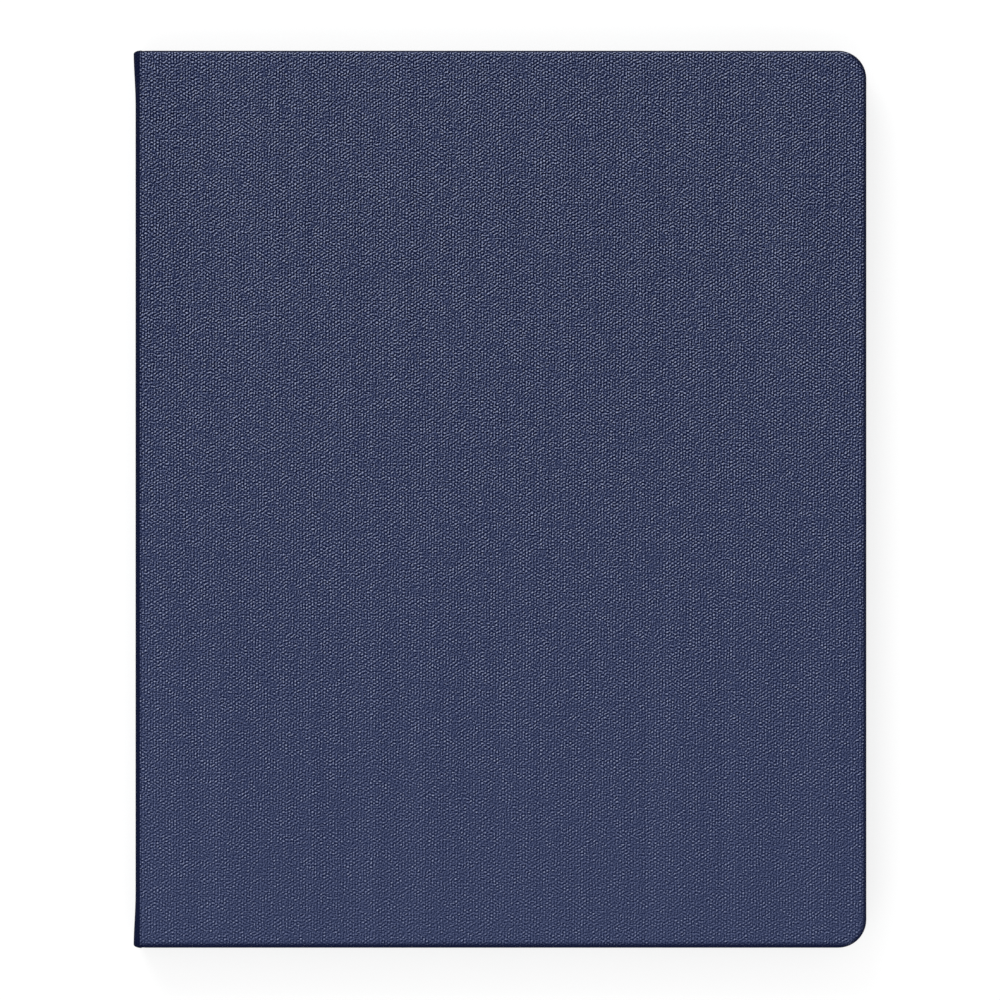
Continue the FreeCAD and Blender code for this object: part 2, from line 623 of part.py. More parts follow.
# Bare leather at the two folds: a quarter turn round the fold's axis and a short tail along the spine
fold_sides = (LEFT, f"({LEFT} + skin)", minus(HALF_Y), HALF_Y)
for name, axis_z, tail_ends, downwards in (
    ("front_hinge_strip", FRONT_FOLD_Z, (SPINE_HIGH, FRONT_FOLD_Z), False),
    ("rear_hinge_strip", "fold_radius", ("fold_radius", SPINE_LOW), True),
):
    strip = node(piece(name))
    add(strip, f"{name}_tail", [(fold_sides,)], *tail_ends)
    section = flat_sketch(strip, f"{name}_section", "XY_Plane", axis_z)
    draw_loop(section, fold_sides)
    line = Part.LineSegment(FreeCAD.Vector(number(FOLD_X), -1), FreeCAD.Vector(number(FOLD_X), 1))
    axis = section.addGeometry(line, True)
    section.addConstraint(Sketcher.Constraint("Vertical", axis))
    place(section, -1, 1, axis, 1, "X", FOLD_X)
    turn = strip.newObject("PartDesign::Revolution", f"{name}_turn")
    turn.Profile = section
    turn.ReferenceAxis = (section, ["Axis0"])
    turn.Angle = 90
    turn.Reversed = downwards

# Windows that the back's layers share: the kickstand, a thumb notch at its free edge, and the camera
stand_y = span("0", f"({STAND_Y} + stand_gap)")
stand_x = (f"({STAND_FREE} - stand_gap)", "(stand_hinge_x + stand_slot)")
stand_window = ((*stand_x, *stand_y), "(stand_corner + stand_gap)")
thumb_x = (f"({STAND_FREE} - stand_gap - thumb_depth)", STAND_FREE)
thumb_notch = ((*thumb_x, "(-thumb_half_width)", "thumb_half_width"), "thumb_depth")
camera_sides = (*span(CAMERA_X, "camera_half_size"), *span(CAMERA_Y, "camera_half_size"))
camera_window = (camera_sides, "camera_corner", "camera_corner")
step_corner = "(camera_corner + camera_step)"
camera_step = (grown(camera_sides, "camera_step"), step_corner, step_corner)
fixed_recesses = []
moving_recesses = []
for centre in (HINGE_Y, minus(HINGE_Y)):
    leaf_ends = span(centre, "(hinge_length / 2)")
    fixed_recesses.append((("stand_hinge_x", "(stand_hinge_x + leaf_reach)", *leaf_ends),))
    moving_recesses.append((("(stand_hinge_x - leaf_reach)", "stand_hinge_x", *leaf_ends),))

# Stiffener of the back
back_board = node(piece("back_board"))
add(back_board, "back_sheet", [((TRAY_LEFT, *skin_inside[1:]), "", inside_corner)], "skin", BACK_TOP)
cut(back_board, "back_stand_window", [stand_window], "skin", BACK_TOP)
cut(back_board, "back_thumb_notch", [thumb_notch], "skin", BACK_TOP)
cut(back_board, "back_camera", [camera_step], "skin", BACK_TOP)
cut(back_board, "back_leaf_recess", fixed_recesses, LEAF_LOW, BACK_TOP)

# Leather of the back, turned up round the stiffener
back_skin = node(piece("back_skin"))
add(back_skin, "back_skin_sheet", [(face, "", "corner_radius")], TABLE, BACK_TOP)
round_edges(back_skin, "back_skin_edge", "back_edge_round",
            lambda box: same(box.ZMax, TABLE) and not same(box.XMax, FOLD_X))
cut(back_skin, "back_skin_inside", [(skin_inside, "", inside_corner)], "skin", BACK_TOP)
cut(back_skin, "back_skin_fold_end", [(fold_end,)], "skin", BACK_TOP)
cut(back_skin, "skin_stand_window", [stand_window], TABLE, "skin")
cut(back_skin, "skin_thumb_notch", [thumb_notch], TABLE, "skin")
cut(back_skin, "skin_camera", [camera_step], TABLE, "skin")

# Tray that grips the tablet by a lip, with notches for port and buttons and windows for camera and speakers
tablet_tray = node(piece("tablet_tray"))
tray_sides = (TRAY_LEFT, TRAY_RIGHT, minus(TRAY_Y), TRAY_Y)
bay_sides = (BAY_LEFT, BAY_RIGHT, minus(BAY_Y), BAY_Y)
tray_outline = (tray_sides, "(bay_corner + tray_wall)", "(bay_corner + tray_wall)")
tray_mouth = (grown(bay_sides, "(-lip_reach)"), "(bay_corner - lip_reach)", "(bay_corner - lip_reach)")
add(tablet_tray, "tray_block", [tray_outline], BACK_TOP, RIM_TOP)
cut(tablet_tray, "tray_bay", [(bay_sides, "bay_corner", "bay_corner")], FLOOR_TOP, LIP_LOW)
cut(tablet_tray, "tray_mouth", [tray_mouth], LIP_LOW, RIM_TOP)
cut(tablet_tray, "tray_camera", [camera_window], BACK_TOP, FLOOR_TOP)
wall_far = (f"({BAY_Y} - lip_reach - overshoot)", f"({TRAY_Y} + overshoot)")
wall_near = (minus(wall_far[1]), minus(wall_far[0]))
port_notch = (*span("0", "port_half_width"), *wall_near)
button_notch = (*span(BUTTON_X, "button_half_width"), *wall_far)
notches = [(port_notch,), (button_notch,)]
cut(tablet_tray, "tray_notches", notches, f"({LINING_TOP} + notch_sill)", RIM_TOP)
speakers = []
for x, wall in ((SPEAKER_X, wall_near), (minus(SPEAKER_X), wall_near), (minus(SPEAKER_X), wall_far)):
    speakers.append(((*span(x, "speaker_half_width"), *wall),))
cut(tablet_tray, "tray_speaker_windows", speakers, SPEAKER_LOW, f"({SPEAKER_LOW} + speaker_height)")

# Soft lining on the tray's floor
tray_lining = node(piece("tray_lining"))
lining = (grown(bay_sides, "(-lining_gap)"), "(bay_corner - lining_gap)", "(bay_corner - lining_gap)")
add(tray_lining, "lining_sheet", [lining], FLOOR_TOP, LINING_TOP)
cut(tray_lining, "lining_camera", [camera_window], FLOOR_TOP, LINING_TOP)

# Kickstand flap and its leather
flap_x = (STAND_FREE, "(stand_hinge_x - stand_edge)")
flap = ((*flap_x, minus(STAND_Y), STAND_Y), "stand_corner")
kickstand_skin = node(piece("kickstand_skin"))
add(kickstand_skin, "stand_skin_sheet", [flap], "stand_recess", STAND_SKIN_TOP)
kickstand_board = node(piece("kickstand_board"))
add(kickstand_board, "stand_sheet", [flap], STAND_SKIN_TOP, STAND_TOP)
cut(kickstand_board, "stand_leaf_recess", moving_recesses, LEAF_LOW, STAND_TOP)


def rod(name, radius, y_ends):
    """A cylinder on the kickstand's axis."""
    cylinder = doc.addObject("Part::Cylinder", name)
    cylinder.Placement = FreeCAD.Placement(FreeCAD.Vector(), FreeCAD.Rotation(FreeCAD.Vector(1, 0, 0), -90))
    cylinder.setExpression("Radius", bound(radius))
    cylinder.setExpression("Height", bound(f"{y_ends[1]} - {y_ends[0]}"))
    cylinder.setExpression("Placement.Base.x", bound("stand_hinge_x"))
    cylinder.setExpression("Placement.Base.y", bound(y_ends[0]))
    cylinder.setExpression("Placement.Base.z", bound(HINGE_Z))
    return cylinder


def hinge_leaf(name, ends, knuckles, plate_x, neck_x):
    """A steel leaf beside the axis, rolled into knuckles over the given lengths and bored for the pin."""
    solids = [bar(f"{name}_plate", plate_x, ends, (LEAF_LOW, LEAF_TOP))]
    for count, length in enumerate(knuckles):
        solids.append(bar(f"{name}_neck_{count}", neck_x, length, (LEAF_LOW, LEAF_TOP)))
        solids.append(rod(f"{name}_knuckle_{count}", "barrel_radius", length))
    rolled = doc.addObject("Part::MultiFuse", f"{name}_rolled")
    rolled.Shapes = solids
    bored = doc.addObject("Part::Cut", name)
    bored.Base = rolled
    bored.Tool = rod(f"{name}_bore", "(pin_radius + running_clearance)", ends)
    return bored


# Two friction hinges: the outer knuckles belong to the back, the middle one to the flap, and a pin joins them
fixed_plate_x = ("(stand_hinge_x + leaf_edge)", "(stand_hinge_x + leaf_reach)")
fixed_neck_x = ("stand_hinge_x", fixed_plate_x[0])
moving_plate_x = ("(stand_hinge_x - leaf_reach)", "(stand_hinge_x - leaf_edge)")
moving_neck_x = (moving_plate_x[1], "stand_hinge_x")
fixed_leaves = []
moving_leaves = []
pins = []
for count, centre in enumerate((minus(HINGE_Y), HINGE_Y)):
    low, high = span(centre, "(hinge_length / 2)")
    middle = span(centre, "(knuckle_length / 2)")
    outer = [(low, f"({middle[0]} - knuckle_gap)"), (f"({middle[1]} + knuckle_gap)", high)]
    fixed_leaves.append(hinge_leaf(f"fixed_leaf_{count}", (low, high), outer, fixed_plate_x, fixed_neck_x))
    moving = hinge_leaf(f"moving_leaf_{count}", (low, high), [middle], moving_plate_x, moving_neck_x)
    moving_leaves.append(moving)
    pins.append(rod(f"pin_{count}", "pin_radius", (low, high)))
group("hinge_fixed_leaves", fixed_leaves)
group("hinge_moving_leaves", moving_leaves)
group("hinge_pins", pins)

# Checks on the finished document, then one file for each piece
doc.recompute()
for item in doc.Objects:
    if "Invalid" in item.State or "Error" in item.State:
        raise RuntimeError(f"{item.Name} did not build: {item.State}")
    if item.TypeId == "PartDesign::Pocket" and item.BaseFeature.Shape.Volume - item.Shape.Volume < 0.01:
        raise RuntimeError(f"{item.Name} cuts nothing")
os.makedirs("parts", exist_ok=True)
for item in nodes:
    if item.Shape.isNull() or not item.Shape.isValid():
        raise RuntimeError(f"{item.Label} is not a sound solid")
    item.Shape.exportStep(f"parts/{item.Label}.step")
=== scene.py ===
import json
import math

import bpy
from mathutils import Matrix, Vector


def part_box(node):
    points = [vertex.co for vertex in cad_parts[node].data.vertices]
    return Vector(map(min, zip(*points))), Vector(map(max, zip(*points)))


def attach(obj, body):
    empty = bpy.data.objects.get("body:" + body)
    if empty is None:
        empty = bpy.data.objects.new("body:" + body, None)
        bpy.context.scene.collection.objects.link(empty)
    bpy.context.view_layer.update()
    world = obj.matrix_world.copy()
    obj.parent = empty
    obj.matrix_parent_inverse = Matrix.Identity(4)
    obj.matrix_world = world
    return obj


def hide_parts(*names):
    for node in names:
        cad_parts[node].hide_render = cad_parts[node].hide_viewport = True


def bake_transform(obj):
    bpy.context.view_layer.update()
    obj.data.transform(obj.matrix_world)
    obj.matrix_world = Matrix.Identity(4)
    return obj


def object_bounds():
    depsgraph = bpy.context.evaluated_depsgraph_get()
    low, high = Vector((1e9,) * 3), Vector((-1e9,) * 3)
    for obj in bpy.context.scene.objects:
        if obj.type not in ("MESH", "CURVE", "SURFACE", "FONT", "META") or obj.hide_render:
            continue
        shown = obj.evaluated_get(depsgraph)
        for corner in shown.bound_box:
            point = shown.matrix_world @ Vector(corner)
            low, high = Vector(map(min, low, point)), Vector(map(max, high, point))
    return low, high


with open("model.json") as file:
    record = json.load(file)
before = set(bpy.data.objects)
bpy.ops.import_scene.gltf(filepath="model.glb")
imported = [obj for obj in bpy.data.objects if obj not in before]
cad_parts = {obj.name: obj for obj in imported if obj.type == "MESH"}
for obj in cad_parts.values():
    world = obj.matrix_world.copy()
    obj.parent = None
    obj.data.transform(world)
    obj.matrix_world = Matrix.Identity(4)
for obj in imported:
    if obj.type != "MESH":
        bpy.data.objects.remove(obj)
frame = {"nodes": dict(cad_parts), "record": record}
cad_low, cad_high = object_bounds()


# Stiff boards
# Three sheets of glass-fibre laminate keep the back, the kickstand and the spine flat.
# They are cut to shape by a die, and the leather is glued over them.
MM = 0.001


def colour(code):
    """A linear colour from an sRGB hex code."""
    parts = [int(code[place : place + 2], 16) / 255 for place in (1, 3, 5)]
    return [part / 12.92 if part <= 0.04045 else ((part + 0.055) / 1.055) ** 2.4 for part in parts] + [1.0]


def add(tree, kind, inputs=(), **settings):
    """Adds a shader node. Inputs go by name or in order. A node as an input stands for its first output."""
    made = tree.nodes.new("ShaderNode" + kind)
    for name, value in settings.items():
        setattr(made, name, value)
    for socket, value in inputs.items() if isinstance(inputs, dict) else enumerate(inputs):
        if isinstance(value, bpy.types.Node):
            value = value.outputs[0]
        if isinstance(value, bpy.types.NodeSocket):
            tree.links.new(value, made.inputs[socket])
        else:
            made.inputs[socket].default_value = value
    return made


def new_material(name):
    """A material and its empty node tree."""
    made = bpy.data.materials.new(name)
    made.use_nodes = True
    made.node_tree.nodes.clear()
    return made, made.node_tree


def surface_finish(name, base, roughness, grain_mm, relief_mm=0.01, mottle=0.12, metallic=0.0, ior=1.5):
    """A grained finish. The grain has a size along X, Y and Z and a relief, and mottles the colour."""
    made, tree = new_material(name)
    place = add(tree, "TexCoord").outputs["Object"]
    drawn = add(tree, "VectorMath", (place, Vector(grain_mm) * MM), operation="DIVIDE")
    marks = add(tree, "TexNoise", {"Vector": drawn, "Scale": 1.0, "Detail": 2.0})
    tone = add(tree, "MapRange", {"Value": marks, "To Min": 1 - mottle, "To Max": 1 + mottle})
    toned = add(tree, "VectorMath", (colour(base)[:3], tone), operation="MULTIPLY")
    bump = add(tree, "Bump", {"Height": marks, "Strength": 0.5, "Distance": relief_mm * MM})
    surface = {"Base Color": toned, "Normal": bump, "Roughness": roughness, "Metallic": metallic, "IOR": ior}
    add(tree, "OutputMaterial", {"Surface": add(tree, "BsdfPrincipled", surface)})
    return made


def dress(material, *nodes):
    """Gives CAD nodes their material."""
    for node in nodes:
        mesh = frame["nodes"][node].data
        mesh.materials.clear()
        mesh.materials.append(material)


# pressed laminate: dull charcoal, with the threads of the glass cloth just showing across the sheet
glass_fibre = surface_finish(
    "glass_fibre_laminate",
    "#33363D",
    roughness=0.7,
    grain_mm=(1.2, 0.2, 1.2),
    ior=1.55,
)
dress(glass_fibre, "back_board", "kickstand_board", "spine_board")


# PU leather
# The skins of the deck, the spine, the back and the kickstand are soft navy sheets: polyurethane on a fabric
# backing, with a grain pressed in by a hot roller. They are glued to what is under them and turned over its
# edges, so they keep their CAD shape.
CASE_TOP = cad_high.z
CASE_HALF_LENGTH = cad_high.y
# how far up the leather of the back is turned
BACK_HEM = 2.4 * MM


def laid_flat(tree, place, facing):
    """A place on the sheet before it was turned over an edge, so that the grain runs on round the edge."""
    x, y, z = place
    from_top = add(tree, "Math", (CASE_TOP, z), operation="SUBTRACT")
    on_cover = add(tree, "Math", (z, BACK_HEM), operation="GREATER_THAN")
    down = add(tree, "Mix", {0: on_cover, 2: z, 3: from_top})
    across = add(tree, "Math", (facing[0], down, x), operation="MULTIPLY_ADD")
    along = add(tree, "Math", (facing[1], down, y), operation="MULTIPLY_ADD")
    return add(tree, "CombineXYZ", (across, along))


# round bumps in a staggered grid, whose rows wander as the soft sheet gives under the roller
GRAIN_ACROSS = 1.5 * MM
GRAIN_ALONG = 0.93 * MM
WANDER = 0.42 * MM
WANDER_LENGTH = 3 * MM
# each bump is three waves that cross, and in each patch of the sheet one or another of them is stronger
WAVE_SHARES = (0.52, 0.35, 0.36)
PATCH = 2.2 * MM
PATCHINESS = 0.8
# the pores between the bumps, with painted light and shade: each is lighter on one side and darker on the
# other, along one slant across the sheet
PORE = 0.44 * MM
PORE_LIGHT_OFFSET = (-0.16 * MM, 0.25 * MM, 0)
PORE_DEPTH = 5.2


def embossing(tree, sheet):
    """The height of the grain, as a share of its usual depth."""
    drift = add(tree, "TexNoise", {"Vector": sheet, "Scale": 1 / WANDER_LENGTH, "Detail": 0.0})
    wander = (drift.outputs["Color"], (WANDER, WANDER, 0), sheet)
    wandered = add(tree, "VectorMath", wander, operation="MULTIPLY_ADD")
    grid = add(tree, "VectorMath", (wandered, (GRAIN_ACROSS, GRAIN_ALONG, 1)), operation="DIVIDE")
    columns, rows, _ = add(tree, "SeparateXYZ", (grid,)).outputs
    waves = (
        add(tree, "Math", (columns, rows), operation="SUBTRACT"),
        add(tree, "Math", (columns, rows), operation="ADD"),
        add(tree, "Math", (columns, columns), operation="ADD"),
    )
    light_offset_place = add(tree, "VectorMath", (sheet, PORE_LIGHT_OFFSET), operation="ADD")
    rise, fall = (
        add(tree, "TexNoise", {"Vector": spot, "Scale": 1 / PORE, "Detail": 1.0, "Roughness": 0.75})
        for spot in (light_offset_place, sheet)
    )
    # painted light and shade: the pore pattern less itself a little way along the slant
    pores = add(tree, "Math", (rise, fall), operation="SUBTRACT")
    height = add(tree, "Math", (pores, PORE_DEPTH), operation="MULTIPLY")
    uneven = add(tree, "TexNoise", {"Vector": sheet, "Scale": 1 / PATCH, "Detail": 1.0})
    patches = add(tree, "SeparateColor", (uneven.outputs["Color"],)).outputs
    for turns, share, patch in zip(waves, WAVE_SHARES, patches):
        angle = add(tree, "Math", (turns, 2 * math.pi), operation="MULTIPLY")
        wave = add(tree, "Math", (angle,), operation="COSINE")
        strength = add(
            tree,
            "MapRange",
            {"Value": patch, "To Min": share - PATCHINESS, "To Max": share + PATCHINESS},
        )
        height = add(tree, "Math", (wave, strength, height), operation="MULTIPLY_ADD")
    return height


# painted shade along the round edges, which turn away from the light: how far in the dark starts, and how far
# in it is full
SPINE_RIM = (1.35 * MM, 1.1 * MM)
FORE_RIM = (1.5 * MM, 0.2 * MM)
FOOT_RIM = (1.9 * MM, 0.4 * MM)
HEAD_RIM = (0.5 * MM, 0.25 * MM)
# radius of the two corners at the fore-edge, and how strong the painted shade is
CORNER = 7.2 * MM
EDGE_SHADE_STRENGTH = 0.95
# how far a surface faces up or down: on the flanks, which get no painted shade, and on the round edges
FLANK = 0.02
ROUND_EDGE = 0.15


def painted_edge_shade(tree, x, y, upright, from_head):
    """Painted shade: how dark the sheet is along its round edges. The rim of the fore-edge runs round its two
    corners.
    """
    outward = add(tree, "Math", (x, cad_high.x - CORNER), operation="SUBTRACT")
    turning = add(
        tree,
        "MapRange",
        {"Value": outward, "From Max": CORNER / 2},
        interpolation_type="SMOOTHSTEP",
    )
    off_middle = add(tree, "Math", (y,), operation="ABSOLUTE")
    endward = add(tree, "Math", (off_middle, CASE_HALF_LENGTH - CORNER), operation="SUBTRACT")
    endward = add(tree, "Math", (endward, 0.0), operation="MAXIMUM")
    endward = add(tree, "Math", (endward, turning), operation="MULTIPLY")
    outward = add(tree, "Math", (outward, 0.0), operation="MAXIMUM")
    arm = add(tree, "CombineXYZ", (outward, endward))
    reach = add(tree, "VectorMath", (arm,), operation="LENGTH").outputs["Value"]
    edges = (
        (add(tree, "Math", (x, cad_low.x), operation="SUBTRACT"), SPINE_RIM),
        (add(tree, "Math", (CORNER, reach), operation="SUBTRACT"), FORE_RIM),
        (add(tree, "Math", (y, CASE_HALF_LENGTH), operation="ADD"), FOOT_RIM),
        (from_head, HEAD_RIM),
    )
    dark = 0.0
    for distance, (start, full) in edges:
        rim = add(
            tree,
            "MapRange",
            {"Value": distance, "From Min": start, "From Max": full, "To Max": EDGE_SHADE_STRENGTH},
            interpolation_type="SMOOTHSTEP",
        )
        dark = add(tree, "Math", (rim, dark), operation="MAXIMUM")
    slope = add(tree, "Math", (upright,), operation="ABSOLUTE")
    on_round_edge = add(tree, "MapRange", {"Value": slope, "From Min": FLANK, "From Max": ROUND_EDGE})
    return add(tree, "Math", (dark, on_round_edge), operation="MULTIPLY")


# painted light: the grain shows most contrast, in tone and in relief, at the head of the cover, as under a
# low light from the head, and about half as much at its foot
HEAD_LIT_CONTRAST = 1.1
HEAD_LIT_CONTRAST_FROM = 70 * MM
FOOT_LIT_CONTRAST = 0.505
# faint bands along the spine, as the sheet came off its roller: their width and length, and their strength
BAND = (1.9 * MM, 160 * MM, 1)
BAND_TONE = 0.031
# places on the scale of tones: the plain sheet, how far it is darkened as the painted contrast grows, and how
# far the grain swings it
PLAIN_TONE = 0.5696
CONTRAST_DARKENING = -0.0878
GRAIN_TONE = 0.338
# the turned edge at the head catches the light
SHINE_TONE = 0.14
SHINE_WIDTH = 1.3 * MM
# from the pores to the tops of the bumps, and the painted shade on the round edges
LEATHER_TONES = ("#00001E", "#051037", "#333C5B", "#5D668A", "#ABB5D4")
EDGE_SHADE_TONE = "#0A1233"
GRAIN_HEIGHT = 0.3 * MM

# embossed polyurethane: dark pores round pale bumps on navy, with next to no shine; the bumps are real
# relief, and the dark of the pores and the pale of the bump tops are partly painted shade and painted
# highlight
pu_leather, leather_tree = new_material("embossed_pu_leather")
leather_source = add(leather_tree, "TexCoord").outputs
leather_place = add(leather_tree, "SeparateXYZ", (leather_source["Object"],)).outputs
leather_facing = add(leather_tree, "SeparateXYZ", (leather_source["Normal"],)).outputs
leather_sheet = laid_flat(leather_tree, leather_place, leather_facing)
# painted light: more grain contrast at the head of the cover, less at its foot
lit_contrast = add(
    leather_tree,
    "MapRange",
    {
        "Value": leather_place[1],
        "From Min": -CASE_HALF_LENGTH,
        "From Max": HEAD_LIT_CONTRAST_FROM,
        "To Min": FOOT_LIT_CONTRAST,
        "To Max": HEAD_LIT_CONTRAST,
    },
)
rolled = add(leather_tree, "VectorMath", (leather_sheet, BAND), operation="DIVIDE")
bands = add(leather_tree, "TexNoise", {"Vector": rolled, "Scale": 1.0, "Detail": 0.0})
band_darkening = add(
    leather_tree,
    "MapRange",
    {"Value": bands, "To Min": CONTRAST_DARKENING - BAND_TONE, "To Max": CONTRAST_DARKENING + BAND_TONE},
)
level = add(leather_tree, "Math", (lit_contrast, band_darkening, PLAIN_TONE), operation="MULTIPLY_ADD")
from_head = add(leather_tree, "Math", (CASE_HALF_LENGTH, leather_place[1]), operation="SUBTRACT")
shine = add(
    leather_tree,
    "MapRange",
    {"Value": from_head, "From Min": SHINE_WIDTH, "From Max": SHINE_WIDTH / 2, "To Max": SHINE_TONE},
    interpolation_type="SMOOTHSTEP",
)
level = add(leather_tree, "Math", (level, shine), operation="ADD")
grain = add(leather_tree, "Math", (embossing(leather_tree, leather_sheet), lit_contrast), operation="MULTIPLY")
height = add(leather_tree, "Math", (grain, GRAIN_TONE, level), operation="MULTIPLY_ADD")
# the tones paint part of the relief's shade into the pores and its highlight onto the bump tops
tones = add(leather_tree, "ValToRGB", (height,))
stops = tones.color_ramp.elements
stops[0].color = colour(LEATHER_TONES[0])
stops[1].color = colour(LEATHER_TONES[-1])
for step, tone in enumerate(LEATHER_TONES[1:-1], start=1):
    stops.new(step / (len(LEATHER_TONES) - 1)).color = colour(tone)
# painted shade on the round edges of the sheet, mixed into its colour
edge = painted_edge_shade(leather_tree, leather_place[0], leather_place[1], leather_facing[2], from_head)
toned = add(leather_tree, "Mix", {0: edge, 6: tones, 7: colour(EDGE_SHADE_TONE)}, data_type="RGBA")
relief = add(leather_tree, "Bump", {"Height": height, "Strength": 1.0, "Distance": GRAIN_HEIGHT})
leather_surface = add(
    leather_tree,
    "BsdfPrincipled",
    {"Base Color": toned.outputs[2], "Normal": relief, "Roughness": 0.55, "Specular IOR Level": 0.03},
)
add(leather_tree, "OutputMaterial", {"Surface": leather_surface})
dress(pu_leather, "back_skin", "kickstand_skin", "spine_skin", "deck_skin")


# Leather folds
# Two bare strips of the same leather bend where the spine meets the back and the deck, glued to both sides.
# Each is a quarter turn round its fold with a short tail along the spine, and swells a little at both ends.
SKIN = 0.8 * MM
FOLD_RADIUS = 1.6 * MM
FOLD_TAIL = 0.3 * MM
SPINE_X = cad_low.x
FOLD_X = SPINE_X + FOLD_RADIUS
FRONT_FOLD_Z = CASE_TOP - FOLD_RADIUS
REAR_FOLD_Z = FOLD_RADIUS
FOLD_STEPS = 16
LENGTH_STEPS = 92
SWELL = 0.5 * MM
SWELL_LENGTH = 14 * MM
END_ROUND = 0.9 * MM
END_ROUND_LENGTH = 1.4 * MM


def mesh_object(name, points, faces):
    """A mesh in the scene, with its place in its points."""
    mesh = bpy.data.meshes.new(name)
    mesh.from_pydata(points, [], faces)
    mesh.update()
    made = bpy.data.objects.new(name, mesh)
    bpy.context.scene.collection.objects.link(made)
    return made


def fold_side(radius, axis_z, upwards):
    """One side of a strip in section, from the face of the case round the fold to the end of the tail."""
    angles = [step * math.pi / 2 / FOLD_STEPS for step in range(FOLD_STEPS + 1)]
    side = [(FOLD_X - math.sin(turn) * radius, axis_z + upwards * math.cos(turn) * radius) for turn in angles]
    return side + [(side[-1][0], axis_z - upwards * FOLD_TAIL)]


def fold_strip(name, axis_z, upwards):
    """A closed strip of leather. The face it leads to is above the fold's axis (1) or below it (-1)."""
    outer = fold_side(FOLD_RADIUS, axis_z, upwards)
    inner = fold_side(FOLD_RADIUS - SKIN, axis_z, upwards)
    section = outer + inner[::-1]
    points = []
    for step in range(LENGTH_STEPS + 1):
        y = (2 * step / LENGTH_STEPS - 1) * CASE_HALF_LENGTH
        from_end = CASE_HALF_LENGTH - abs(y)
        near_end = max(0.0, 1 - from_end / SWELL_LENGTH)
        swell = SWELL * near_end * near_end * (3 - 2 * near_end)
        rounding = END_ROUND * max(0.0, 1 - from_end / END_ROUND_LENGTH)
        for x, z in section:
            outward = min(1.0, (FOLD_X - x) / FOLD_RADIUS)
            inset = rounding * (1 - math.sqrt(1 - outward * outward))
            points.append((x - swell * outward, y - math.copysign(inset, y), z))
    count = len(section)
    faces = []
    for step in range(LENGTH_STEPS):
        for corner in range(count):
            here = step * count + corner
            beside = step * count + (corner + 1) % count
            faces.append((here, beside, beside + count, here + count)[::upwards])
    last = LENGTH_STEPS * count
    faces.append(tuple(range(count))[::-upwards])
    faces.append(tuple(range(last, last + count))[::upwards])
    made = mesh_object(name, points, faces)
    for face in made.data.polygons:
        face.use_smooth = len(face.vertices) == 4
    made.data.materials.append(pu_leather)
    return made


dress(pu_leather, "front_hinge_strip", "rear_hinge_strip")
front_fold = fold_strip("front_fold_leather", FRONT_FOLD_Z, 1)
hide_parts("front_hinge_strip")
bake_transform(front_fold)
rear_fold = fold_strip("rear_fold_leather", REAR_FOLD_Z, -1)
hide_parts("rear_hinge_strip")
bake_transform(rear_fold)


# Kickstand hinges
# Two stainless steel friction hinges carry the kickstand on the back.
# Each has a fixed leaf and a moving leaf, rolled round one pin and let into the boards.

# brushed along the pin: long fine scratches that stretch the highlights, drawn coarser than the real ones
hinge_steel = surface_finish(
    "brushed_stainless_steel",
    "#B9BCC1",
    roughness=0.32,
    grain_mm=(0.1, 2, 0.1),
    metallic=1.0,
)
dress(hinge_steel, "hinge_fixed_leaves", "hinge_pins", "hinge_moving_leaves")


# Tablet tray
# One polycarbonate moulding grips the tablet by the lip of its walls, and is glued to the back board.
# It has openings for the tablet's camera, speakers, plug and side buttons.

# satin moulding: near-black navy with a soft highlight, its fine tooth drawn coarser than the real one
tray_polycarbonate = surface_finish(
    "satin_polycarbonate",
    "#242A3B",
    roughness=0.42,
    grain_mm=(0.5, 0.5, 0.5),
    relief_mm=0.02,
    ior=1.585,
)
dress(tray_polycarbonate, "tablet_tray")


# Tray lining
# A sheet of microfibre is glued to the floor of the tray.
# Its brushed face keeps the back of the tablet from scratches.

# brushed nap: no shine and a soft mottle, drawn coarser than the real fibres so that it shows
microfibre = surface_finish(
    "brushed_microfibre",
    "#3A4156",
    roughness=0.95,
    grain_mm=(0.25, 0.25, 0.25),
    relief_mm=0.2,
    mottle=0.45,
)
dress(microfibre, "tray_lining")


# Deck plate
# A flat aluminium sheet stiffens the keyboard deck.
# The leather is glued to its outer face, and the switch sheet lies against its inner one.

# mill finish: pale grey with fine streaks along the rolling direction, drawn coarser than the real ones
plate_aluminium = surface_finish(
    "rolled_aluminium",
    "#C9CBCF",
    roughness=0.4,
    grain_mm=(0.15, 3, 0.15),
    metallic=1.0,
)
dress(plate_aluminium, "deck_plate")


# Switch sheet
# The membrane is polyester film with printed switches, one for each key.
# It lies against the deck plate, and its flat tail runs to the controller board.

# plain film: pale and smooth, with hardly any variation
polyester_film = surface_finish(
    "polyester_film",
    "#C7CAD0",
    roughness=0.35,
    grain_mm=(2, 2, 2),
    mottle=0.04,
    ior=1.57,
)
dress(polyester_film, "membrane_sheet")


# Domes
# One moulded silicone sheet on the membrane has a dome under each key.
# A pressed key folds its dome, which closes the switch and then lifts the key again.

# moulded silicone: milky white and waxy
silicone = surface_finish(
    "silicone_rubber",
    "#D9D8D3",
    roughness=0.6,
    grain_mm=(0.8, 0.8, 0.8),
    mottle=0.05,
    ior=1.41,
)
dress(silicone, "dome_sheet")


# Key tops
# Each key is a moulded ABS cap, and a flange behind the key bed keeps it in its opening.
# The CAD shape is kept, with its sharp edges rounded over.
KEY_EDGE = 0.35 * MM
KEY_EDGE_STEPS = 3
SHARP = math.radians(30)
SAME_POINT = 0.001 * MM

